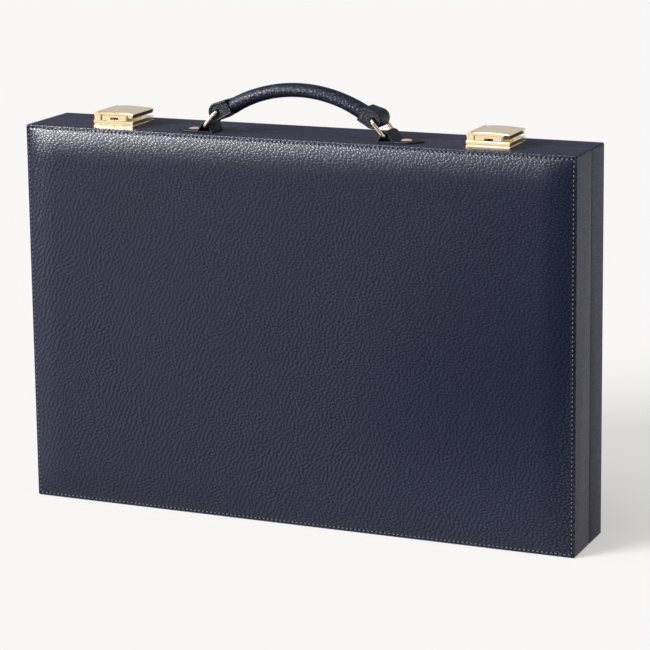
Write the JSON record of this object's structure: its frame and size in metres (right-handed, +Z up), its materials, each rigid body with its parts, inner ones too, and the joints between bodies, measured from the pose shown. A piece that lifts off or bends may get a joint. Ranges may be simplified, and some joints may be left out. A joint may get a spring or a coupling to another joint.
{
  "type": "attache case",
  "caption": "Slim hard-sided attache case in navy leather: hinged lid, two flap locks and a carrying handle on rings.",
  "frame": {"origin": "middle of the underside, on the surface that the closed case stands on", "axes": "+X along the width to the viewer's right, -Y towards the handle side panel, +Z up to the handle"},
  "size_m": [0.445, 0.072, 0.3369],
  "materials": {
    "navy_leather": "satin, pebbled",
    "suede_lining": "matte suede",
    "plywood": "bare",
    "foam": "matte",
    "rope_core": "matte",
    "gilt_brass": "polished",
    "dark_steel": "blackened"
  },
  "bodies": {
    "base": {"base_wrap": "navy_leather", "base_rails": "plywood", "base_board": "plywood", "base_foam": "foam", "base_panel_leather": "navy_leather", "base_lining_panel": "suede_lining", "base_lining_walls": "suede_lining", "base_seam_binding": "navy_leather", "base_hinge_leaf": "gilt_brass", "base_hinge_screws": "gilt_brass", "base_stay_screws": "gilt_brass", "hinge_pin": "gilt_brass", "handle_rivets": "gilt_brass", "rivet_washers": "gilt_brass", "lock_screws": "gilt_brass", "left_chape": "navy_leather", "right_chape": "navy_leather", "left_lock_plate": "gilt_brass", "left_lock_case": "gilt_brass", "left_lock_body": "gilt_brass", "left_flap_pin": "gilt_brass", "right_lock_plate": "gilt_brass", "right_lock_case": "gilt_brass", "right_lock_body": "gilt_brass", "right_flap_pin": "gilt_brass"},
    "lid": {"lid_wrap": "navy_leather", "lid_rails": "plywood", "lid_board": "plywood", "lid_foam": "foam", "lid_panel_leather": "navy_leather", "lid_lining_panel": "suede_lining", "lid_lining_walls": "suede_lining", "lid_seam_binding": "navy_leather", "lid_hinge_leaf": "gilt_brass", "lid_hinge_screws": "gilt_brass", "lid_stay_screws": "gilt_brass", "document_pocket": "suede_lining", "keeper_screws": "gilt_brass", "left_keeper": "gilt_brass", "left_hook": "dark_steel", "right_keeper": "gilt_brass", "right_hook": "dark_steel"},
    "ring_left": {"left_ring": "gilt_brass"},
    "ring_right": {"right_ring": "gilt_brass"},
    "handle": {"handle_core": "rope_core", "handle_cover": "navy_leather", "handle_loops": "navy_leather", "handle_tabs": "navy_leather"},
    "left_lower_stay": {"left_stay_lower_arm": "gilt_brass", "left_stay_knee_pin": "gilt_brass"},
    "left_upper_stay": {"left_stay_upper_arm": "gilt_brass"},
    "right_lower_stay": {"right_stay_lower_arm": "gilt_brass", "right_stay_knee_pin": "gilt_brass"},
    "right_upper_stay": {"right_stay_upper_arm": "gilt_brass"},
    "left_flap": {"left_flap": "gilt_brass"},
    "left_bolt": {"left_bolt": "dark_steel", "left_slider": "dark_steel"},
    "right_flap": {"right_flap": "gilt_brass"},
    "right_bolt": {"right_bolt": "dark_steel", "right_slider": "dark_steel"}
  },
  "joints": [
    {"name": "lid_hinge", "type": "hinge", "parent": "base", "child": "lid", "pos_m": [0, 0.002, 0.0022], "axis": [-1, 0, 0], "range_deg": [0, 100]},
    {"name": "left_stay_root", "type": "hinge", "parent": "base", "child": "left_lower_stay", "pos_m": [0, -0.007, 0.07162], "axis": [-1, 0, 0], "range_deg": [0, 100]},
    {"name": "left_stay_knee", "type": "hinge", "parent": "left_lower_stay", "child": "left_upper_stay", "pos_m": [0, 0.002, 0.14104], "axis": [-1, 0, 0], "range_deg": [-100, 0]},
    {"name": "right_stay_root", "type": "hinge", "parent": "base", "child": "right_lower_stay", "pos_m": [0, -0.007, 0.07162], "axis": [-1, 0, 0], "range_deg": [0, 100]},
    {"name": "right_stay_knee", "type": "hinge", "parent": "right_lower_stay", "child": "right_upper_stay", "pos_m": [0, 0.002, 0.14104], "axis": [-1, 0, 0], "range_deg": [-100, 0]},
    {"name": "handle_sway", "type": "hinge", "parent": "base", "child": "ring_left", "pos_m": [-0.073, -0.015, 0.3016], "axis": [0, 1, 0], "range_deg": [-12, 12]},
    {"name": "handle_on_left_ring", "type": "hinge", "parent": "ring_left", "child": "handle", "pos_m": [-0.063, -0.015, 0.3134], "axis": [0, 1, 0], "range_deg": [-14, 14]},
    {"name": "right_ring_tilt", "type": "hinge", "parent": "base", "child": "ring_right", "pos_m": [0.073, -0.015, 0.3016], "axis": [0, 1, 0], "range_deg": [-12, 12]},
    {"name": "left_flap_lift", "type": "hinge", "parent": "base", "child": "left_flap", "pos_m": [-0.1643, -0.008, 0.3066], "axis": [0, -1, 0], "range_deg": [0, 100]},
    {"name": "left_bolt_slide", "type": "slide", "parent": "base", "child": "left_bolt", "axis": [1, 0, 0], "range_m": [0, 0.004]},
    {"name": "right_flap_lift", "type": "hinge", "parent": "base", "child": "right_flap", "pos_m": [0.1387, -0.008, 0.3066], "axis": [0, -1, 0], "range_deg": [0, 100]},
    {"name": "right_bolt_slide", "type": "slide", "parent": "base", "child": "right_bolt", "axis": [1, 0, 0], "range_m": [0, 0.004]}
  ],
  "couplings": [
    {"joint": "left_stay_root", "follows": "lid_hinge", "ratio": 1},
    {"joint": "left_stay_knee", "follows": "lid_hinge", "ratio": -1},
    {"joint": "right_stay_root", "follows": "lid_hinge", "ratio": 1},
    {"joint": "right_stay_knee", "follows": "lid_hinge", "ratio": -1},
    {"joint": "handle_on_left_ring", "follows": "handle_sway", "ratio": -1.159},
    {"joint": "right_ring_tilt", "follows": "handle_sway", "ratio": 1}
  ]
}
